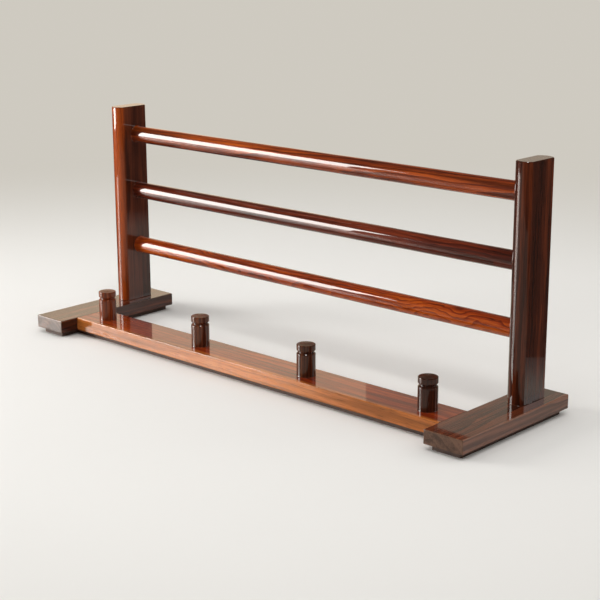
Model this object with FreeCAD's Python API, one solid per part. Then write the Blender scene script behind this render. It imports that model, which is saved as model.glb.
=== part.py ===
import FreeCAD, Part
import math
import os
from collections import namedtuple

# Wall rack for hats and coats, standing on its wall side: a board with turned pegs between two
# feet, two uprights on the feet and round rails between the uprights that make the hat shelf.
# X runs along the rails, Y runs from the peg side to the shelf side, which is the top end when
# the rack hangs, and Z points away from the wall. The origin is the middle of the underside.
# All sizes are in millimetres.

# Feet
overall_length = 645.0
foot_width = 46.5
foot_length = 180.0
foot_thickness = 15.0
edge_ease = 0.8

# Spacer pads under the feet and the backing strip under the board
pad_thickness = 6.0
pad_inset = 6.0
pad_corner = 1.0

# Peg board
board_width = 46.0
board_thickness = 15.0
board_setback = 24.0

# Uprights: flat faces, shallow round front and back edges
upright_thickness = 20.0
upright_depth = 46.0
upright_crown = 5.0
upright_height = 245.0
upright_setback = 20.0
upright_top_ease = 0.6

# Rails
rail_count = 3
rail_diameter = 20.0
rail_spacing = 70.0
rail_first_height = 70.0
rail_offset = 4.0
rail_tenon_diameter = 14.0
rail_tenon_length = 12.0

# Turned pegs
peg_count = 4
peg_end_margin = 31.5
peg_diameter = 20.5
peg_height = 35.0
peg_head_height = 6.7
peg_groove_width = 4.0
peg_groove_depth = 2.0
peg_head_ease = 1.0
peg_head_crown = 0.5
peg_tenon_diameter = 12.0
peg_tenon_length = 10.0

# Dowels
dowel_diameter = 8.0
dowel_chamfer = 0.8
board_dowel_length = 40.0
board_dowel_spacing = 24.0
upright_dowel_length = 34.0
upright_dowel_spacing = 26.0
upright_dowel_in_foot = 10.0

# Wood screws: head diameter, shank diameter and whole length
Screw = namedtuple("Screw", "head shank length")
upright_screw = Screw(head=9.0, shank=4.5, length=45.0)
back_screw = Screw(head=7.0, shank=3.5, length=16.0)
hanger_screw = Screw(head=5.6, shank=3.0, length=11.0)
screw_tip_length = 4.0
screw_slot_width = 1.0
screw_slot_depth = 0.9
pad_screw_front_inset = 16.0

# Keyhole hanger plates, let into the pads near the top end
hanger_width = 30.0
hanger_height = 24.0
hanger_thickness = 1.5
hanger_corner = 2.0
hanger_setback = 22.0
hanger_screw_spacing = 22.0
keyhole_diameter = 9.0
keyhole_drop = 5.0
keyhole_slot_width = 4.5
keyhole_slot_reach = 5.0
keyhole_pocket_margin = 0.5

# Clearances
joint_clearance = 0.05
joint_end_gap = 1.0
screw_clearance = 0.05
hanger_clearance = 0.1
cut_overrun = 1.0

# Places worked out from the sizes above
foot_outer_x = overall_length / 2
foot_inner_x = foot_outer_x - foot_width
foot_centre_x = foot_outer_x - foot_width / 2
foot_front_y = -foot_length / 2
foot_back_y = foot_length / 2
foot_top_z = pad_thickness + foot_thickness
board_front_y = foot_front_y + board_setback
board_centre_y = board_front_y + board_width / 2
board_underside_z = foot_top_z - board_thickness
upright_centre_y = foot_back_y - upright_setback - upright_depth / 2
upright_inner_x = foot_centre_x - upright_thickness / 2
rail_centre_y = upright_centre_y + rail_offset
pad_inner_x = foot_inner_x + pad_inset
hanger_centre_y = foot_back_y - hanger_setback
outer_peg_x = foot_inner_x - peg_end_margin
peg_spacing = 2 * outer_peg_x / (peg_count - 1)
peg_places_x = [number * peg_spacing - outer_peg_x for number in range(peg_count)]

UP = FreeCAD.Vector(0, 0, 1)
DOWN = FreeCAD.Vector(0, 0, -1)
RIGHT = FreeCAD.Vector(1, 0, 0)


def point(x, y, z):
    return FreeCAD.Vector(x, y, z)


def block(low, high):
    """Box from its lowest corner to its highest corner."""
    size = high - low
    return Part.makeBox(size.x, size.y, size.z, low)


def edges_along(shape, direction):
    """Straight edges that run along the direction."""
    found = []
    for edge in shape.Edges:
        if isinstance(edge.Curve, Part.Line):
            if abs(edge.Curve.Direction.dot(direction)) > 0.999:
                found.append(edge)
    return found


def edges_at_height(shape, z):
    """Edges that lie wholly in the level plane at z."""
    box_of = [(edge, edge.BoundBox) for edge in shape.Edges]
    return [edge for edge, box in box_of if abs(box.ZMin - z) < 1e-4 and abs(box.ZMax - z) < 1e-4]


def turned(outline, base, direction):
    """Solid of revolution: outline is (radius, height) points, its axis starts at base."""
    corners = [point(radius, 0, height) for radius, height in outline]
    face = Part.Face(Part.makePolygon(corners + corners[:1]))
    solid = face.revolve(point(0, 0, 0), UP, 360)
    turn = FreeCAD.Rotation(UP, direction)
    solid.Placement = FreeCAD.Placement(base, turn)
    return solid


def cut_away(solid, cutters):
    """The solid less all cutters, as one solid."""
    return solid.cut(cutters).Solids[0]


def mirrored(shape):
    """The left-hand copy of a right-hand piece."""
    return shape.mirror(point(0, 0, 0), RIGHT)


def both_sides(shapes):
    return shapes + [mirrored(shape) for shape in shapes]


# Fasteners and their holes

def screw_outline(screw, clearance, head_overrun):
    """Half section of a countersunk wood screw, grown by a clearance for its hole."""
    head_radius = screw.head / 2 + clearance
    shank_radius = screw.shank / 2 + clearance
    head_height = head_radius - shank_radius
    end = screw.length + clearance
    tip_start = end - screw_tip_length
    outline = [(0, -head_overrun), (head_radius, -head_overrun)]
    if head_overrun > 0:
        outline.append((head_radius, 0))
    outline.append((shank_radius, head_height))
    outline.append((shank_radius, tip_start))
    outline.append((0, end))
    return outline


def wood_screw(screw, base, direction):
    """Countersunk screw with a slotted head whose flat top is at base."""
    solid = turned(screw_outline(screw, 0, 0), base, direction)
    slot = Part.makeBox(screw.head, screw_slot_width, 2 * screw_slot_depth)
    slot.translate(point(-screw.head / 2, -screw_slot_width / 2, -screw_slot_depth))
    slot.Placement = FreeCAD.Placement(base, FreeCAD.Rotation(UP, direction)) * slot.Placement
    return cut_away(solid, [slot])


def screw_hole(screw, base, direction):
    """Cutter for the countersink, clearance hole and pilot hole of a screw."""
    return turned(screw_outline(screw, screw_clearance, cut_overrun), base, direction)


def dowel(length, base, direction):
    radius = dowel_diameter / 2
    outline = [
        (0, 0),
        (radius - dowel_chamfer, 0),
        (radius, dowel_chamfer),
        (radius, length - dowel_chamfer),
        (radius - dowel_chamfer, length),
        (0, length),
    ]
    return turned(outline, base, direction)


def dowel_hole(length, base, direction):
    """Cutter for a dowel's two holes, with room for glue past each end."""
    radius = dowel_diameter / 2 + joint_clearance
    start = base - direction * joint_end_gap
    return Part.makeCylinder(radius, length + 2 * joint_end_gap, start, direction)


# Each fastener of the right half: its piece and its cutter come from the same place

def board_dowel_places():
    start_x = foot_inner_x - board_dowel_length / 2
    z = foot_top_z - board_thickness / 2
    for side in (-1, 1):
        yield point(start_x, board_centre_y + side * board_dowel_spacing / 2, z)


def upright_dowel_places():
    z = foot_top_z - upright_dowel_in_foot
    for side in (-1, 1):
        yield point(foot_centre_x, upright_centre_y + side * upright_dowel_spacing / 2, z)


def upright_screw_place():
    return point(foot_centre_x, upright_centre_y, pad_thickness)


def pad_screw_places():
    """One near the front end, one midway between the board and the upright."""
    front = foot_front_y + pad_inset + pad_screw_front_inset
    middle = (board_front_y + board_width + upright_centre_y - upright_depth / 2) / 2
    return [point(foot_centre_x, front, 0), point(foot_centre_x, middle, 0)]


def backing_screw_places():
    """Midway between neighbouring pegs, along the whole board."""
    return [point(x + peg_spacing / 2, board_centre_y, 0) for x in peg_places_x[:-1]]


def hanger_screw_places():
    for side in (-1, 1):
        yield point(foot_centre_x + side * hanger_screw_spacing / 2, hanger_centre_y, 0)


def board_dowel_holes():
    return [dowel_hole(board_dowel_length, place, RIGHT) for place in board_dowel_places()]


def upright_dowel_holes():
    return [dowel_hole(upright_dowel_length, place, UP) for place in upright_dowel_places()]


def upright_screw_hole():
    return screw_hole(upright_screw, upright_screw_place(), UP)


def pad_screw_holes():
    return [screw_hole(back_screw, place, UP) for place in pad_screw_places()]


def backing_screw_holes():
    return [screw_hole(back_screw, place, UP) for place in backing_screw_places()]


def hanger_screw_holes():
    return [screw_hole(hanger_screw, place, UP) for place in hanger_screw_places()]


# Wooden pieces

def right_foot():
    low = point(foot_inner_x, foot_front_y, pad_thickness)
    high = point(foot_outer_x, foot_back_y, foot_top_z)
    solid = block(low, high)
    solid = solid.makeFillet(edge_ease, solid.Edges)
    holes = board_dowel_holes() + upright_dowel_holes() + [upright_screw_hole()]
    holes += pad_screw_holes() + hanger_screw_holes()
    return cut_away(solid, holes)


def keyhole(thickness, base_z):
    """Cutter for a keyhole: a round entry with a slot that runs up to a round end."""
    entry_y = hanger_centre_y - keyhole_drop
    end_y = hanger_centre_y + keyhole_slot_reach
    base = point(foot_centre_x, entry_y, base_z)
    entry = Part.makeCylinder(keyhole_diameter / 2, thickness, base, UP)
    end_base = point(foot_centre_x, end_y, base_z)
    slot_end = Part.makeCylinder(keyhole_slot_width / 2, thickness, end_base, UP)
    slot_low = point(foot_centre_x - keyhole_slot_width / 2, entry_y, base_z)
    slot_high = point(foot_centre_x + keyhole_slot_width / 2, end_y, base_z + thickness)
    return entry.fuse([slot_end, block(slot_low, slot_high)])


def hanger_blank(clearance, base_z, thickness):
    """Plate outline with rounded corners, grown by a clearance for its recess."""
    half_width = hanger_width / 2 + clearance
    half_height = hanger_height / 2 + clearance
    low = point(foot_centre_x - half_width, hanger_centre_y - half_height, base_z)
    high = point(foot_centre_x + half_width, hanger_centre_y + half_height, base_z + thickness)
    blank = block(low, high)
    return blank.makeFillet(hanger_corner + clearance, edges_along(blank, UP))


def right_hanger_plate():
    cutters = [keyhole(hanger_thickness + 2 * cut_overrun, -cut_overrun)]
    cutters += hanger_screw_holes()
    return cut_away(hanger_blank(0, 0, hanger_thickness), cutters)


def keyhole_pocket():
    """Room for a wall screw's head behind the plate, right through the pad."""
    reach = keyhole_diameter / 2 + keyhole_pocket_margin
    front = hanger_centre_y - keyhole_drop - reach
    back = hanger_centre_y + keyhole_slot_reach + reach
    low = point(foot_centre_x - reach, front, 0)
    high = point(foot_centre_x + reach, back, pad_thickness + cut_overrun)
    return block(low, high)


def right_foot_pad():
    low = point(pad_inner_x, foot_front_y + pad_inset, 0)
    high = point(foot_outer_x - pad_inset, foot_back_y - pad_inset, pad_thickness)
    solid = block(low, high)
    solid = solid.makeFillet(pad_corner, edges_along(solid, UP))
    recess = hanger_blank(hanger_clearance, -cut_overrun, cut_overrun + hanger_thickness)
    cutters = [recess, keyhole_pocket()] + pad_screw_holes() + hanger_screw_holes()
    return cut_away(solid, cutters)


def peg_board():
    low = point(-foot_inner_x, board_front_y, board_underside_z)
    high = point(foot_inner_x, board_front_y + board_width, foot_top_z)
    solid = block(low, high)
    solid = solid.makeFillet(edge_ease, edges_along(solid, RIGHT))
    socket_radius = peg_tenon_diameter / 2 + joint_clearance
    socket_depth = peg_tenon_length + joint_end_gap
    cutters = both_sides(board_dowel_holes()) + backing_screw_holes()
    for x in peg_places_x:
        mouth = point(x, board_centre_y, foot_top_z + cut_overrun)
        cutters.append(Part.makeCylinder(socket_radius, socket_depth + cut_overrun, mouth, DOWN))
    return cut_away(solid, cutters)


def board_backing():
    """Strip that carries the board on the wall, between the two pads."""
    low = point(-pad_inner_x, board_front_y + pad_inset, 0)
    high = point(pad_inner_x, board_front_y + board_width - pad_inset, board_underside_z)
    return cut_away(block(low, high), backing_screw_holes())


def upright_outline(base_z):
    """Two flat sides joined by two shallow arcs, as a closed wire."""
    side = upright_thickness / 2
    flat = upright_depth / 2 - upright_crown
    tip = upright_depth / 2
    x, y = foot_centre_x, upright_centre_y
    front_inner = point(x - side, y - flat, base_z)
    front_outer = point(x + side, y - flat, base_z)
    back_inner = point(x - side, y + flat, base_z)
    back_outer = point(x + side, y + flat, base_z)
    front_arc = Part.Arc(front_inner, point(x, y - tip, base_z), front_outer)
    back_arc = Part.Arc(back_outer, point(x, y + tip, base_z), back_inner)
    edges = [
        front_arc.toShape(),
        Part.makeLine(front_outer, back_outer),
        back_arc.toShape(),
        Part.makeLine(back_inner, front_inner),
    ]
    return Part.Wire(edges)


def rail_heights():
    return [foot_top_z + rail_first_height + step * rail_spacing for step in range(rail_count)]


def right_upright():
    solid = Part.Face(upright_outline(foot_top_z)).extrude(UP * upright_height)
    top_edges = edges_at_height(solid, foot_top_z + upright_height)
    solid = solid.makeChamfer(upright_top_ease, top_edges)
    socket_radius = rail_tenon_diameter / 2 + joint_clearance
    socket_depth = rail_tenon_length + joint_end_gap
    cutters = upright_dowel_holes() + [upright_screw_hole()]
    for z in rail_heights():
        mouth = point(upright_inner_x - cut_overrun, rail_centre_y, z)
        cutters.append(Part.makeCylinder(socket_radius, socket_depth + cut_overrun, mouth, RIGHT))
    return cut_away(solid, cutters)


def rail(z):
    """Round rail with a shoulder and a tenon at each end."""
    radius = rail_diameter / 2
    tenon_radius = rail_tenon_diameter / 2
    half = upright_inner_x
    end = half + rail_tenon_length
    outline = [
        (0, -end),
        (tenon_radius, -end),
        (tenon_radius, -half),
        (radius, -half),
        (radius, half),
        (tenon_radius, half),
        (tenon_radius, end),
        (0, end),
    ]
    return turned(outline, point(0, rail_centre_y, z), RIGHT)


def coat_peg(x):
    """Turned peg: tenon, plain body, vee groove and a head with an eased, crowned top."""
    radius = peg_diameter / 2
    tenon_radius = peg_tenon_diameter / 2
    head_low = peg_height - peg_head_height
    groove_middle = head_low - peg_groove_width / 2
    groove_low = head_low - peg_groove_width
    rim_z = peg_height - peg_head_crown
    rim_radius = radius - peg_head_ease
    bend = peg_head_ease * (1 - math.sqrt(0.5))
    outline = [
        point(0, 0, -peg_tenon_length),
        point(tenon_radius, 0, -peg_tenon_length),
        point(tenon_radius, 0, 0),
        point(radius, 0, 0),
        point(radius, 0, groove_low),
        point(radius - peg_groove_depth, 0, groove_middle),
        point(radius, 0, head_low),
        point(radius, 0, rim_z - peg_head_ease),
    ]
    ease = Part.Arc(outline[-1], point(radius - bend, 0, rim_z - bend), point(rim_radius, 0, rim_z))
    crown_radius = (rim_radius ** 2 + peg_head_crown ** 2) / (2 * peg_head_crown)
    half_way = rim_radius / 2
    sag = crown_radius - math.sqrt(crown_radius ** 2 - half_way ** 2)
    top = point(0, 0, peg_height)
    crown = Part.Arc(point(rim_radius, 0, rim_z), point(half_way, 0, peg_height - sag), top)
    straight = Part.makePolygon(outline)
    axis_line = Part.makeLine(top, outline[0])
    wire = Part.Wire(straight.Edges + [ease.toShape(), crown.toShape(), axis_line])
    solid = Part.Face(wire).revolve(point(0, 0, 0), UP, 360)
    solid.translate(point(x, board_centre_y, foot_top_z))
    return solid


# Fastener groups

def board_dowels():
    right = [dowel(board_dowel_length, place, RIGHT) for place in board_dowel_places()]
    return Part.makeCompound(both_sides(right))


def upright_dowels():
    right = [dowel(upright_dowel_length, place, UP) for place in upright_dowel_places()]
    return Part.makeCompound(both_sides(right))


def upright_screws():
    return Part.makeCompound(both_sides([wood_screw(upright_screw, upright_screw_place(), UP)]))


def back_screws():
    """Screws that hold the pads to the feet and the backing strip to the board."""
    pads = both_sides([wood_screw(back_screw, place, UP) for place in pad_screw_places()])
    backing = [wood_screw(back_screw, place, UP) for place in backing_screw_places()]
    return Part.makeCompound(pads + backing)


def hanger_screws():
    right = [wood_screw(hanger_screw, place, UP) for place in hanger_screw_places()]
    return Part.makeCompound(both_sides(right))


def all_nodes():
    nodes = {
        "peg_board": peg_board(),
        "board_backing": board_backing(),
        "board_dowels": board_dowels(),
        "upright_dowels": upright_dowels(),
        "upright_screws": upright_screws(),
        "back_screws": back_screws(),
        "hanger_screws": hanger_screws(),
    }
    pairs = {
        "foot": right_foot(),
        "foot_pad": right_foot_pad(),
        "upright": right_upright(),
        "hanger_plate": right_hanger_plate(),
    }
    for name, shape in pairs.items():
        nodes["right_" + name] = shape
        nodes["left_" + name] = mirrored(shape)
    for number, z in enumerate(rail_heights(), start=1):
        nodes[f"shelf_rail_{number}"] = rail(z)
    for number, x in enumerate(peg_places_x, start=1):
        nodes[f"coat_peg_{number}"] = coat_peg(x)
    return nodes


os.makedirs("parts", exist_ok=True)
for name, shape in all_nodes().items():
    shape.exportStep(f"parts/{name}.step")
    print(name, len(shape.Solids), "solids", round(shape.Volume / 1000, 3), "cm3", shape.isValid())
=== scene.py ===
"""Looks of the lacquered rosewood hat and coat rack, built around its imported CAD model."""

import math

import bpy
import numpy as np
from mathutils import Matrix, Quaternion, Vector


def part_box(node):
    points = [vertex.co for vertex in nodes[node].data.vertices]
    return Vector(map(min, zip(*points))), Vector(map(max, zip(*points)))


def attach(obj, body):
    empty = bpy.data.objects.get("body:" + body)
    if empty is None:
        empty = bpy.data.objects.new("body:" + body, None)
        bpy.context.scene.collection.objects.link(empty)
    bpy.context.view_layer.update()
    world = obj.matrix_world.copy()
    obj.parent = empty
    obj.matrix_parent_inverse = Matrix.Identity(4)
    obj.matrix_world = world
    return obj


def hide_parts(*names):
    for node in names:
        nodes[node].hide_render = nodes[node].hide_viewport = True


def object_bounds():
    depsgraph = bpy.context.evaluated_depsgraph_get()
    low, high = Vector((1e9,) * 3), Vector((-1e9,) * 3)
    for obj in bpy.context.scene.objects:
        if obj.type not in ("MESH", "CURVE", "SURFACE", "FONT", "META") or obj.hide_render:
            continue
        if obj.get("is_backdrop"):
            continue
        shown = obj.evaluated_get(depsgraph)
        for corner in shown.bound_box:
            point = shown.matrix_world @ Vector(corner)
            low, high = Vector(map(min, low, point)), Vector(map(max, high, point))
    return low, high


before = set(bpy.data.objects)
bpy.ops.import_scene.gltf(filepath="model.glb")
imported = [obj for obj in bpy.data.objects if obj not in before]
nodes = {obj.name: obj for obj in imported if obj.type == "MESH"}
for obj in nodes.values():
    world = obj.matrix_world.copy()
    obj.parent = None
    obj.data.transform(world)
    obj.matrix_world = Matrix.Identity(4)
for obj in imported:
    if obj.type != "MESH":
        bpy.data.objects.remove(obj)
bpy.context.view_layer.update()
scene = bpy.context.scene
scene.view_settings.view_transform = "Standard"


# Camera
# A short telephoto at the front right, a little above the tops of the uprights, so that the
# rack is seen along its length with its right end near.

camera_place = Vector((1.0616, -1.1074, 0.4944))
camera_aim = Vector((0.0, 0.0356, 0.0729))
camera_roll = math.radians(-0.2)
camera_data = bpy.data.cameras.new("camera")
camera_data.sensor_width = 36.0
camera_data.lens = 85.8
camera = bpy.data.objects.new("camera", camera_data)
camera.rotation_mode = "QUATERNION"
camera.location = camera_place
towards_aim = (camera_aim - camera_place).to_track_quat("-Z", "Y")
camera.rotation_quaternion = towards_aim @ Quaternion((0, 0, 1), camera_roll)
scene.collection.objects.link(camera)
scene.camera = camera


# Room
# The rack lies on a plain white table in a dim studio with one lit wall. Some lamps and the
# table's sheen are seen only in reflections, and others give only diffuse light.


class Socket:
    """One output in a node tree. Arithmetic on it adds Math nodes, and make() adds any other."""

    def __init__(self, tree, output):
        self.tree = tree
        self.output = output

    def maths(self, operation, *others):
        node = self.tree.nodes.new("ShaderNodeMath")
        node.operation = operation
        for slot, value in zip(node.inputs, (self,) + others):
            plug(self.tree, slot, value)
        return Socket(self.tree, node.outputs[0])

    def __add__(self, other):
        return self.maths("ADD", other)

    __radd__ = __add__

    def __sub__(self, other):
        return self.maths("SUBTRACT", other)

    def __rsub__(self, other):
        return (self * -1.0) + other

    def __mul__(self, other):
        return self.maths("MULTIPLY", other)

    __rmul__ = __mul__

    def __abs__(self):
        return self.maths("ABSOLUTE")

    def rise(self, low, high):
        """0 below low and 1 above high, with a smooth step between them."""
        settings = {"interpolation_type": "SMOOTHSTEP"}
        return make(self.tree, "ShaderNodeMapRange", settings, Value=self, From_Min=low, From_Max=high)


def plug(tree, slot, value):
    """Gives an input a link, or a constant, where a colour may leave out its alpha."""
    if isinstance(value, Socket):
        tree.links.new(value.output, slot)
    elif slot.type == "RGBA":
        slot.default_value = (*value[:3], 1.0)
    else:
        slot.default_value = value


def make(tree, kind, settings=None, out=0, **inputs):
    """A node with its settings, then its inputs by name, or by number written _0, _1 and so on."""
    node = tree.nodes.new(kind)
    for key, value in (settings or {}).items():
        if key == "stops":
            stops = node.color_ramp.elements
            stops.remove(stops[0])
            stops[0].position = value[0][0]
            stops[0].color = (*value[0][1], 1.0)
            for position, colour in value[1:]:
                stops.new(position).color = (*colour, 1.0)
        else:
            setattr(node, key, value)
    for key, value in inputs.items():
        slot = node.inputs[int(key[1:])] if key[0] == "_" else node.inputs[key.replace("_", " ")]
        plug(tree, slot, value)
    return Socket(tree, node.outputs[out])


def mixed(tree, factor, first, second):
    """The first colour where the factor is 0, and the second where it is 1."""
    return make(tree, "ShaderNodeMix", {"data_type": "RGBA"}, 2, _0=factor, _6=first, _7=second)


def new_material(name):
    """An empty material, its node tree, its shader and the object coordinates to paint by."""
    material = bpy.data.materials.new(name)
    material.use_nodes = True
    tree = material.node_tree
    place = make(tree, "ShaderNodeTexCoord", None, 3)
    return material, tree, tree.nodes["Principled BSDF"], place


def paint(piece, material):
    """Shows the piece in this material all over."""
    if not piece.material_slots:
        piece.data.materials.append(material)
    for slot in piece.material_slots:
        slot.material = material


def sheet_mesh(name, corners):
    """A flat sheet with these four corners."""
    mesh = bpy.data.meshes.new(name)
    mesh.from_pydata(corners, [], [(0, 1, 2, 3)])
    sheet = bpy.data.objects.new(name, mesh)
    scene.collection.objects.link(sheet)
    return sheet


floor_half = 40.0
floor = sheet_mesh(
    "floor", [(x * floor_half, y * floor_half, 0.0) for x, y in ((-1, -1), (1, -1), (1, 1), (-1, 1))]
)
floor.visible_glossy = False
floor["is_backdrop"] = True

table_ahead = Vector((-0.68, 0.733, 0.0))
table_right = Vector((0.733, 0.68, 0.0))
table_top = sheet_mesh(
    "table_top",
    [
        table_ahead * ahead + table_right * right + Vector((0, 0, 0.00005))
        for ahead, right in ((-1.1, -1.2), (-1.1, 0.47), (0.31, 0.47), (0.31, -1.2))
    ],
)
table_top.visible_camera = False
table_top.visible_diffuse = False
table_top.visible_shadow = False
table_top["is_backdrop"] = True

background = (0.62, 0.59, 0.53)
table_white, tree, shader, place = new_material("table_white")
cloud = make(tree, "ShaderNodeTexNoise", None, 0, Vector=place, Scale=1.5)
table_tone = mixed(tree, cloud, (0.83, 0.825, 0.810), (0.85, 0.845, 0.830))
tree.links.new(table_tone.output, shader.inputs["Base Color"])
shader.inputs["Roughness"].default_value = 0.7
shader.inputs["Specular IOR Level"].default_value = 0.0
distance = make(tree, "ShaderNodeVectorMath", {"operation": "LENGTH"}, 1, _0=place)
seen = make(tree, "ShaderNodeLightPath", None, 0)
haze = make(tree, "ShaderNodeEmission", None, 0, Color=background, Strength=1.0)
table_surface = Socket(tree, shader.outputs[0])
far_off = seen * distance.rise(0.35, 1.5)
surface_seen = make(tree, "ShaderNodeMixShader", None, 0, _0=far_off, _1=table_surface, _2=haze)
tree.links.new(surface_seen.output, tree.nodes["Material Output"].inputs["Surface"])
paint(floor, table_white)

table_sheen, tree, shader, place = new_material("table_sheen")
dot_product = {"operation": "DOT_PRODUCT"}
to_right = make(tree, "ShaderNodeVectorMath", dot_product, 1, _0=place, _1=tuple(table_right))
# The sheet is seen only in reflections. Its colour fades to near black towards the right, which paints shade
# into the reflections on the rack's right-facing faces.
painted_reflection_tone = mixed(tree, to_right.rise(0.34, 0.47), (0.56, 0.52, 0.46), (0.03, 0.03, 0.03))
tree.links.new(painted_reflection_tone.output, shader.inputs["Base Color"])
shader.inputs["Roughness"].default_value = 0.30
paint(table_top, table_sheen)

world = bpy.data.worlds.new("studio")
scene.world = world
world.use_nodes = True
tree = world.node_tree
gaze = make(tree, "ShaderNodeTexCoord", None, 0)
facing = make(tree, "ShaderNodeVectorMath", dot_product, 1, _0=gaze, _1=tuple(table_ahead))
upward = make(tree, "ShaderNodeSeparateXYZ", None, 2, Vector=gaze)
wall = facing.rise(0.30, 0.80) * upward.rise(-0.10, 0.02) * (1.0 - upward.rise(0.28, 0.45))
room_tone = mixed(tree, wall, (0.055, 0.052, 0.048), (0.56, 0.48, 0.38))
seen = make(tree, "ShaderNodeLightPath", None, 0)
room_tone = mixed(tree, seen, room_tone, background)
tree.links.new(room_tone.output, tree.nodes["Background"].inputs["Color"])


def soft_box(name, place, aim, width, height, radiance, colour):
    """A rectangular lamp facing its aim. Its watts are radiance x area x pi."""
    data = bpy.data.lights.new(name, "AREA")
    data.shape = "RECTANGLE"
    data.size = width
    data.size_y = height
    data.energy = radiance * width * height * math.pi
    data.color = colour
    lamp = bpy.data.objects.new(name, data)
    lamp.location = place
    lamp.rotation_mode = "QUATERNION"
    lamp.rotation_quaternion = (Vector(aim) - Vector(place)).to_track_quat("-Z", "Y")
    lamp.visible_camera = False
    scene.collection.objects.link(lamp)
    return lamp


key_place = (-1.456, -1.058, 0.49)
key_aim = (0, 0, 0.3)
gloss_place = (-1.427, -1.098, 0.49)
tall_soft_box = soft_box("tall_soft_box", gloss_place, key_aim, 0.85, 0.98, 18.0, (1.0, 0.97, 0.93))
tall_soft_box.visible_diffuse = False
key_lamp = soft_box("key_lamp", key_place, key_aim, 0.75, 0.98, 12.5, (1.0, 0.985, 0.96))
key_lamp.visible_glossy = False
soft_box("overhead_lamp", (0.33, -0.35, 1.55), (0, 0, 0.1), 0.30, 0.30, 12.0, (1.0, 0.98, 0.95))
soft_box("back_soft_box", (1.15, 1.10, 0.75), (0, 0, 0.1), 0.45, 0.70, 3.0, (1.0, 0.98, 0.95))
wall_glow = soft_box("wall_glow", (-1.55, 0.98, 0.45), (-0.6, 0, 0.1), 1.3, 0.9, 0.60, (1.0, 0.73, 0.48))
wall_glow.visible_diffuse = False
ceiling_glow = soft_box("ceiling_glow", (0, 2.0, 6.0), (0, 2.0, 0), 16.0, 16.0, 0.90, (1.0, 0.99, 0.97))
ceiling_glow.visible_glossy = False


# Feet
# Two flat blocks of the darkest rosewood, grain running front to back, edges just eased. The
# board and uprights are dowelled to them, and clear lacquer runs over block and joint alike.


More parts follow.
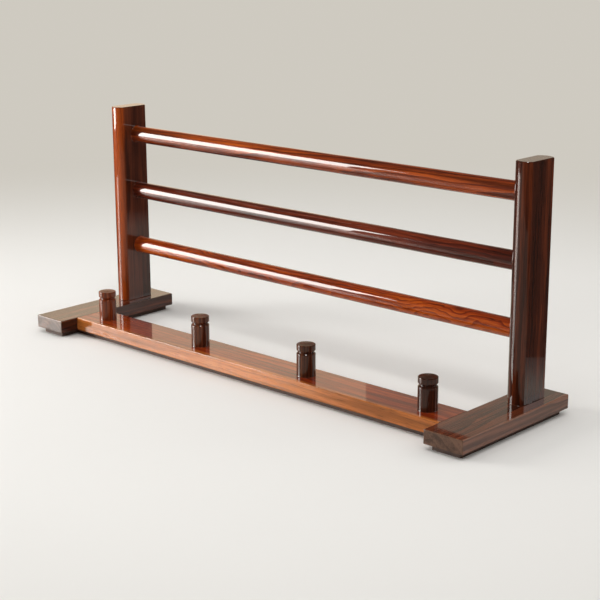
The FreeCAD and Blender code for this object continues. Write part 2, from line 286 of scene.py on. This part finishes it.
def rosewood(
    node,
    grain,
    colours,
    seed,
    rings=140.0,
    waves=2.0,
    stretch=7.0,
    flames=0.6,
    streaks=0.6,
    heart=(0.03, 0.05),
    pale_side_painted_light=None,
    end_tone=None,
    dull_ends=0.0,
    worn=0.0,
):
    """Rosewood under clear gloss lacquer, for the piece that fills this node's box.

    The growth rings are the whole numbers of a phase. The phase is the distance from the heart,
    a line beside the piece along the grain, times the rings per metre, plus slow noise that
    bends it by some waves. Ring edges are inked dark in patches, which gives flames, and noise
    drawn out along the grain adds long streaks, fibres and pores.
    """
    material, tree, shader, place = new_material(f"{node}_rosewood")
    low, high = (np.array(corner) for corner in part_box(node))
    centred = make(tree, "ShaderNodeMapping", None, 0, Vector=place, Location=tuple(-(low + high) / 2))
    turn = {"X": (0.0, math.pi / 2, 0.0), "Y": (-math.pi / 2, 0.0, 0.0), "Z": (0.0, 0.0, 0.0)}[grain]
    along = make(
        tree, "ShaderNodeVectorRotate", {"rotation_type": "EULER_XYZ"}, 0, Vector=centred, Rotation=turn
    )

    def noise(number, drawn_out, scale, detail=2.0, roughness=0.5, distortion=0.0):
        """Noise with its own place in the pattern, drawn out along the grain."""
        offset = tuple(seed * step + number for step in (1.7, 0.9, 0.4))
        moved = make(
            tree, "ShaderNodeMapping", None, 0, Vector=along, Location=offset, Scale=(1, 1, 1 / drawn_out)
        )
        return make(
            tree,
            "ShaderNodeTexNoise",
            None,
            0,
            Vector=moved,
            Scale=scale,
            Detail=detail,
            Roughness=roughness,
            Distortion=distortion,
        )

    across = make(
        tree, "ShaderNodeMapping", None, 0, Vector=along, Location=(*heart, 0.0), Scale=(1, 1, 0)
    )
    radius = make(tree, "ShaderNodeVectorMath", {"operation": "LENGTH"}, 1, _0=across)
    bend = noise(0.3, stretch, 18.0) - 0.5
    ripple = noise(2.1, stretch, 75.0) - 0.5
    ring = (radius * rings + bend * (4.0 * waves) + ripple * waves).maths("FRACT")
    ring_line = ring.rise(0.55, 0.90) * (1.0 - ring.rise(0.93, 1.0))

    tone = noise(4.0, 12.0, 42.0, 4.0, 0.6).rise(0.30, 0.70)
    fibre = noise(6.5, 40.0, 700.0, 3.0, 0.6).rise(0.25, 0.75)
    body = tone * 0.55 + ring.rise(0.0, 0.9) * 0.20 + fibre * 0.25
    light, mid, dark = colours
    ink_colour = (0.016, 0.004, 0.002)
    pore_colour = (0.010, 0.003, 0.002)
    bare_wood = (0.30, 0.17, 0.10)
    stops = [(0.12, light), (0.50, mid), (0.92, dark)]
    wood = make(tree, "ShaderNodeValToRGB", {"stops": stops}, 0, Fac=body)
    # The pale side is a lighter tone like the log's outer wood, laid on a face that catches much light: partly
    # wood colour and partly painted light.
    if pale_side_painted_light is not None:
        axis, start, end, pale = pale_side_painted_light
        depth = make(tree, "ShaderNodeSeparateXYZ", None, "XYZ".index(axis), Vector=place)
        pale_mask_painted_light = (depth + (tone - 0.5) * (0.4 * abs(end - start))).rise(min(start, end), max(start, end))
        if end < start:
            pale_mask_painted_light = 1.0 - pale_mask_painted_light
        wood = mixed(tree, pale_mask_painted_light * (1.0 - 0.45 * body), wood, pale)

    patches = noise(3.3, 5.0, 14.0, 1.0).rise(0.40, 0.60)
    streak = noise(9.3, 26.0, 110.0, 2.0, 0.45, 0.3).rise(0.56, 0.68)
    ink = (ring_line * patches * flames).maths("MAXIMUM", streak * streaks)
    wood = mixed(tree, ink * 0.88, wood, ink_colour)
    pores = noise(12.0, 30.0, 1700.0, 1.0, 0.4).rise(0.60, 0.70)
    wood = mixed(tree, pores * 0.45, wood, pore_colour)

    number = "XYZ".index(grain)
    length = make(tree, "ShaderNodeSeparateXYZ", None, number, Vector=centred)
    end_grain = 1.0 - ((high[number] - low[number]) / 2 - abs(length)).rise(0.0002, 0.0009)
    end_tone = end_tone or tuple(channel * 0.7 for channel in mid)
    mottled = mixed(
        tree,
        body.rise(0.25, 0.75),
        tuple(channel * 1.25 for channel in end_tone),
        tuple(channel * 0.55 for channel in end_tone),
    )
    wood = mixed(tree, end_grain * 0.8, wood, mottled)

    haze = noise(18.0, 1.0, 22.0, 3.0)
    gloss = 0.22 + 0.20 * haze + 0.15 * pores
    if worn:
        edge = edge_mask(tree, place, low, high)
        chips = noise(21.0, 1.0, 900.0, 2.0).rise(0.58, 0.66)
        rubbed = noise(24.0, 1.0, 60.0, 2.0).rise(0.45, 0.65)
        bare = edge * (chips * rubbed * 0.8 + 0.10) * worn
        wood = mixed(tree, bare, wood, bare_wood)
        gloss = gloss + 0.3 * bare
    tree.links.new(wood.output, shader.inputs["Base Color"])
    tree.links.new(gloss.output, shader.inputs["Roughness"])
    height = fibre * 0.4 - pores
    bump = make(tree, "ShaderNodeBump", None, 0, Strength=0.12, Distance=0.0001, Height=height)
    tree.links.new(bump.output, shader.inputs["Normal"])
    shader.inputs["IOR"].default_value = 1.1
    shader.inputs["Coat Weight"].default_value = 1.0
    if dull_ends:
        tree.links.new((1.0 - end_grain * dull_ends).output, shader.inputs["Coat Weight"])
    shader.inputs["Coat Roughness"].default_value = 0.03
    return material


def edge_mask(tree, place, low, high):
    """1 along the edges of a box and 0 on its faces.

    The depth on each axis is how far a point lies inside the nearer of two faces. On a face the
    smallest depth is 0. The middle one is small only near an edge.
    """
    depths = []
    for number in range(3):
        axis = make(tree, "ShaderNodeSeparateXYZ", None, number, Vector=place)
        depths.append((high[number] - low[number]) / 2 - abs(axis - (high[number] + low[number]) / 2))
    x, y, z = depths
    middle = x.maths("MINIMUM", y).maths("MAXIMUM", x.maths("MAXIMUM", y).maths("MINIMUM", z))
    return 1.0 - middle.rise(0.0004, 0.0011)


foot_colours = ((0.16, 0.040, 0.016), (0.066, 0.016, 0.008), (0.022, 0.006, 0.004))
# Each foot gets a lighter tone on its outer side, like the log's outer wood, which brightens the faces the lamps
# light: painted light.
foot_sides = (
    ("left_foot", 1.0, ("X", -0.3185, -0.3215, (0.20, 0.075, 0.040))),
    ("right_foot", 2.0, ("X", 0.3185, 0.3215, (0.24, 0.090, 0.050))),
)
for node, seed, pale_side_painted_light in foot_sides:
    wood = rosewood(
        node,
        "Y",
        foot_colours,
        seed,
        150.0,
        1.2,
        7.0,
        0.8,
        0.7,
        heart=(0.02, 0.035),
        pale_side_painted_light=pale_side_painted_light,
        end_tone=(0.13, 0.072, 0.048),
        worn=1.0,
    )
    paint(nodes[node], wood)


# Pads and backing strip
# Thin sawn strips stained nearly black and left matt, screwed on from the back so that the
# rack stands off its wall with a shadow gap all round.

stained, tree, shader, place = new_material("stained_backing_wood")
drawn_out = make(tree, "ShaderNodeMapping", None, 0, Vector=place, Scale=(0.25, 1.0, 1.0))
sawn = make(tree, "ShaderNodeTexNoise", None, 0, Vector=drawn_out, Scale=420.0, Detail=4.0, Distortion=0.6)
patch = make(tree, "ShaderNodeTexNoise", None, 0, Vector=place, Scale=35.0, Detail=2.0)
stain = make(
    tree,
    "ShaderNodeValToRGB",
    {"stops": [(0.30, (0.034, 0.015, 0.009)), (0.50, (0.075, 0.036, 0.022)), (0.72, (0.150, 0.078, 0.048))]},
    0,
    Fac=sawn * 0.6 + patch * 0.4,
)
tree.links.new(stain.output, shader.inputs["Base Color"])
tree.links.new((0.45 + 0.3 * sawn).output, shader.inputs["Roughness"])
grain_bump = make(tree, "ShaderNodeBump", None, 0, Strength=0.35, Distance=0.0002, Height=sawn)
tree.links.new(grain_bump.output, shader.inputs["Normal"])
for node in ("left_foot_pad", "right_foot_pad", "board_backing"):
    paint(nodes[node], stained)


# Peg board
# One board of orange-red rosewood between the feet, grain running its whole length and paler
# towards the front edge, where a tone like the log's outer wood is painted as the light on the
# front face. It is drilled for the four pegs.

board_colours = ((0.40, 0.066, 0.010), (0.22, 0.024, 0.004), (0.075, 0.010, 0.004))
board_wood = rosewood(
    "peg_board",
    "X",
    board_colours,
    3.0,
    150.0,
    1.6,
    9.0,
    0.55,
    0.35,
    heart=(0.06, 0.05),
    pale_side_painted_light=("Y", -0.058, -0.067, (0.64, 0.215, 0.045)),
    worn=0.35,
)
paint(nodes["peg_board"], board_wood)


# Coat pegs
# Four turned pegs of dark rosewood, each with a vee groove under its head to catch a coat's
# loop. A tenon below, as thick as a finger tip, is glued into the board.


def eased(corners, rounds, steps=8):
    """A profile of straight runs whose corners are rounded.

    Each corner gets an arc that starts and ends one setback before and after it, where the
    setback is the radius times the tangent of half the turn. Each straight run has extra points
    near its ends, so that a flat face stays flat when it is smooth shaded.
    """
    corners = np.array(corners, float)
    arcs = [corners[:1]]
    for before, corner, after, radius in zip(corners[:-2], corners[1:-1], corners[2:], rounds):
        inward = (before - corner) / np.linalg.norm(before - corner)
        outward = (after - corner) / np.linalg.norm(after - corner)
        turn = math.pi - math.acos(np.clip(inward @ outward, -1, 1))
        setback = radius * math.tan(turn / 2)
        share = np.linspace(0, 1, steps + 1)[:, None]
        start = corner + inward * setback
        end = corner + outward * setback
        bulge = (1 - share) ** 2 * start + 2 * share * (1 - share) * corner + share**2 * end
        arcs.append(bulge)
    arcs.append(corners[-1:])
    points = [arcs[0]]
    for arc in arcs[1:]:
        start, end = points[-1][-1], arc[0]
        shares = np.array([0.04, 0.5, 0.96])[:, None]
        points.append(start + (end - start) * shares)
        points.append(arc)
    return np.concatenate(points)


def turned(name, profile, axis, place, turns=96):
    """A closed turned surface: the profile's radius swept round an axis through the place.

    A point is place + height along the axis + radius x (cosine, sine) of the turn across it.
    The profile starts and ends on the axis, and those two ends are single points.
    """
    radius, height = profile[1:-1, 0], profile[1:-1, 1]
    angle = np.linspace(0, 2 * math.pi, turns, endpoint=False)
    along = np.roll(np.array([1.0, 0.0, 0.0]), "XYZ".index(axis))
    across = np.roll(along, 1)
    up = np.roll(along, 2)
    ring = np.cos(angle)[:, None] * across + np.sin(angle)[:, None] * up
    rings = place + height[:, None, None] * along + radius[:, None, None] * ring
    poles = place + profile[[0, -1], 1, None] * along
    points = np.concatenate((rings.reshape(-1, 3), poles))
    quads = grid_faces(len(radius), turns)
    here, there = np.arange(turns), np.roll(np.arange(turns), -1)
    last = (len(radius) - 1) * turns
    first_fan = np.stack((np.full(turns, len(points) - 2), there, here), 1)
    last_fan = np.stack((np.full(turns, len(points) - 1), last + here, last + there), 1)
    return surface(name, points, [quads, first_fan, last_fan])


def grid_faces(rows, columns):
    """Four-sided faces of a grid of points whose columns close on themselves."""
    number = np.arange(rows * columns).reshape(rows, columns)
    near, far = number[:-1], number[1:]
    quads = np.stack((near, np.roll(near, -1, 1), np.roll(far, -1, 1), far), -1)
    return quads.reshape(-1, 4)


def surface(name, points, face_groups, crease=50.0):
    """A smooth shaded mesh object from arrays of points and faces."""
    faces = [face for group in face_groups for face in group.tolist()]
    mesh = bpy.data.meshes.new(name)
    mesh.from_pydata(points.tolist(), [], faces)
    mesh.shade_smooth()
    mesh.set_sharp_from_angle(angle=math.radians(crease))
    piece = bpy.data.objects.new(name, mesh)
    scene.collection.objects.link(piece)
    return piece


def in_rosewood(piece, node, wood):
    """The piece stands for this CAD node, in this wood."""
    paint(piece, wood)
    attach(piece, "root")
    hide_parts(node)


board_top = 0.021
peg_radius = 0.01025
peg_height = 0.035
tenon_radius = 0.006
tenon_length = 0.010
groove_depth = 0.0020
groove_width = 0.0040
neck_radius = peg_radius - groove_depth
head_underside = peg_height - 0.0067
neck_height = head_underside - groove_width / 2
shoulder_height = head_underside - groove_width
head_crown = 0.0005
peg_corners = [
    (0.0, -tenon_length),
    (tenon_radius, -tenon_length),
    (tenon_radius, 0.0),
    (peg_radius + 0.0004, 0.0),
    (peg_radius, 0.0006),
    (peg_radius, shoulder_height),
    (neck_radius, neck_height),
    (peg_radius, head_underside),
    (peg_radius, peg_height - head_crown),
    (0.0, peg_height),
]
peg_rounds = (0.0008, 0.0001, 0.0001, 0.0006, 0.0010, 0.0004, 0.0010, 0.0010)
peg_profile = eased(peg_corners, peg_rounds)
# The first peg, nearest the key lamp, is given a much lighter and more orange wood than the others: painted
# light.
peg_colours = (
    ((0.38, 0.085, 0.022), (0.190, 0.036, 0.010), (0.050, 0.011, 0.005)),
    ((0.19, 0.055, 0.022), (0.085, 0.023, 0.010), (0.028, 0.008, 0.004)),
    ((0.20, 0.062, 0.024), (0.090, 0.026, 0.011), (0.028, 0.008, 0.004)),
    ((0.14, 0.038, 0.016), (0.058, 0.015, 0.007), (0.020, 0.006, 0.003)),
)
for number, colours in enumerate(peg_colours, 1):
    node = f"coat_peg_{number}"
    low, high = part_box(node)
    place = np.array([(low[0] + high[0]) / 2, (low[1] + high[1]) / 2, board_top])
    peg = turned(f"turned_peg_{number}", peg_profile, "Z", place)
    in_rosewood(peg, node, rosewood(node, "Z", colours, 9.0 + number, 260.0, 1.0, 6.0, 0.5, 0.35, dull_ends=0.7))


# Uprights
# Two posts with flat faces and shallow round edges, the arris left crisp and the grain running
# up. A bead of lacquer has gathered round the foot of each, where it stands on its block.

# Each upright gets a lighter tone towards one edge, like the log's outer wood; on the left upright it lies along
# the front edge, which faces the key lamp, so there it is painted light.
upright_colours = (
    (
        "left_upright",
        ((0.17, 0.040, 0.016), (0.085, 0.020, 0.009), (0.030, 0.008, 0.004)),
        4.0,
        ("Y", 0.033, 0.027, (0.42, 0.070, 0.008)),
    ),
    (
        "right_upright",
        ((0.17, 0.034, 0.010), (0.062, 0.012, 0.004), (0.016, 0.004, 0.002)),
        5.0,
        ("Y", 0.060, 0.066, (0.15, 0.030, 0.010)),
    ),
)
upright_woods = {}
for node, colours, seed, pale_side_painted_light in upright_colours:
    upright_woods[node] = rosewood(
        node,
        "Z",
        colours,
        seed,
        120.0,
        1.0,
        12.0,
        0.45,
        0.7,
        heart=(0.05, 0.02),
        pale_side_painted_light=pale_side_painted_light,
        worn=0.3,
    )
    paint(nodes[node], upright_woods[node])


def outline_with_round_ends(half_width, half_flat, crown, steps=24):
    """Flat sides joined by shallow arcs whose rise is the crown, and the outward direction.

    Each arc's radius is (half width squared + crown squared) / (2 x crown).
    """
    radius = (half_width**2 + crown**2) / (2 * crown)
    spread = math.asin(half_width / radius)
    sweep = np.linspace(-spread, spread, steps)
    direction = np.stack((np.sin(sweep), -np.cos(sweep)), 1)
    front = direction * radius + (0, radius - half_flat - crown)
    rim = np.concatenate((front, -front))
    outward = np.concatenate((direction, -direction))
    return rim, outward


bead_size = 0.0007
upright_crown = 0.005
for side in ("left", "right"):
    low, high = (np.array(corner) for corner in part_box(f"{side}_upright"))
    half_flat = (high[1] - low[1]) / 2 - upright_crown
    rim, outward = outline_with_round_ends((high[0] - low[0]) / 2, half_flat, upright_crown)
    centre = (low + high) / 2
    hollow = np.linspace(0, math.pi / 2, 7)
    section_out = bead_size * np.concatenate((1 - np.sin(hollow), [0.0, -0.15, -0.15]))
    section_up = bead_size * np.concatenate((1 - np.cos(hollow), [1.0, 1.0, 0.0]))
    loop = rim[:, None, :] + outward[:, None, :] * section_out[None, :, None]
    up = np.broadcast_to(section_up[None, :, None], loop.shape[:2] + (1,))
    points = np.concatenate((loop, up), 2)
    points = points + (centre[0], centre[1], low[2])
    rows, columns = points.shape[:2]
    wrapped = np.concatenate((points, points[:1]))
    faces = grid_faces(rows + 1, columns) % (rows * columns)
    bead = surface(f"{side}_upright_lacquer_bead", points.reshape(-1, 3), [faces])
    paint(bead, upright_woods[f"{side}_upright"])
    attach(bead, "root")


# Shelf rails
# Three round rails turned from different sticks: the first bright orange-red with flames, the
# second nearly chocolate, the third red-brown. Turned tenons are glued into the uprights, and
# lacquer has gathered in a small fillet at each shoulder.

rail_radius = 0.010
rail_half = 0.28925
tenon_reach = 0.012
rail_tenon = 0.007
tenon_ease = 0.0005
fillet = 0.0006
fillet_length = 0.0012
rail_runs = np.linspace(-1, 1, 121)
rail_woods = (
    ((0.50, 0.092, 0.008), (0.29, 0.037, 0.005), (0.09, 0.013, 0.004), 230.0, 2.8, 2.6, 0.55, 0.45),
    ((0.19, 0.032, 0.011), (0.092, 0.014, 0.006), (0.022, 0.006, 0.003), 220.0, 1.6, 4.5, 0.75, 0.55),
    ((0.44, 0.080, 0.010), (0.20, 0.030, 0.006), (0.045, 0.008, 0.004), 200.0, 1.6, 8.0, 0.65, 0.70),
)
for number, (light, mid, dark, rings, waves, stretch, flames, streaks) in enumerate(rail_woods, 1):
    node = f"shelf_rail_{number}"
    low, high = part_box(node)
    place = np.array([0.0, (low[1] + high[1]) / 2, (low[2] + high[2]) / 2])
    x = rail_runs * (rail_half - fillet_length)
    wander = 0.00004 * np.sin(x * 61.0 + number) + 0.00003 * np.sin(x * 137.0 + 2.0 * number)
    body = np.stack((rail_radius + wander, x), 1)
    flare_share = np.linspace(0, 1, 6)[1:]
    flare_radius = rail_radius + fillet * (1 - np.sqrt(1 - flare_share**2))
    flare_end = np.stack((flare_radius, (rail_half - fillet_length) + fillet_length * flare_share), 1)
    flare_start = np.stack((flare_radius, -flare_end[:, 1]), 1)[::-1]
    end = rail_half + tenon_reach
    eased_tip = [(rail_tenon, end - tenon_ease), (rail_tenon - tenon_ease, end), (0.0, end)]
    tenon = np.array([(rail_tenon, rail_half)] + eased_tip)
    tenon_start = (tenon * (1, -1))[::-1]
    profile = np.concatenate((tenon_start, flare_start, body, flare_end, tenon))
    rail = turned(f"turned_rail_{number}", profile, "X", place)
    wood = rosewood(
        node,
        "X",
        (light, mid, dark),
        5.0 + number,
        rings,
        waves,
        stretch,
        flames,
        streaks,
        heart=(0.012, 0.02),
    )
    in_rosewood(rail, node, wood)


# Dowels
# Fluted beech dowels, glued inside the joints of board, feet and uprights.


def with_clouds(name, colour, shade, metallic, roughness, scale, grain_scale=(1.0, 1.0, 1.0)):
    """A material whose colour and gloss drift between two tones."""
    material, tree, shader, place = new_material(name)
    stretched = make(tree, "ShaderNodeMapping", None, 0, Vector=place, Scale=grain_scale)
    cloud = make(tree, "ShaderNodeTexNoise", None, 0, Vector=stretched, Scale=scale, Detail=4.0)
    tone = mixed(tree, cloud.rise(0.3, 0.7), colour, shade)
    tree.links.new(tone.output, shader.inputs["Base Color"])
    tree.links.new((roughness + 0.25 * cloud).output, shader.inputs["Roughness"])
    shader.inputs["Metallic"].default_value = metallic
    bump = make(tree, "ShaderNodeBump", None, 0, Strength=0.15, Distance=0.0001, Height=cloud)
    tree.links.new(bump.output, shader.inputs["Normal"])
    return material


beech = with_clouds("beech", (0.70, 0.50, 0.31), (0.58, 0.39, 0.23), 0.0, 0.5, 300.0)
paint(nodes["board_dowels"], beech)
paint(nodes["upright_dowels"], beech)


# Screws and hanger plates
# Slotted countersunk screws, zinc-plated inside the feet and brass on the back. Two brass
# keyhole plates, let into the pads, hang the rack on its wall.

zinc = with_clouds("zinc_plate", (0.62, 0.62, 0.60), (0.50, 0.50, 0.48), 1.0, 0.25, 500.0)
brass = with_clouds("brass", (0.72, 0.53, 0.24), (0.50, 0.33, 0.14), 1.0, 0.18, 350.0)
paint(nodes["upright_screws"], zinc)
for node in ("back_screws", "hanger_screws", "left_hanger_plate", "right_hanger_plate"):
    paint(nodes[node], brass)


# The finished rack's box

low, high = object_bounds()
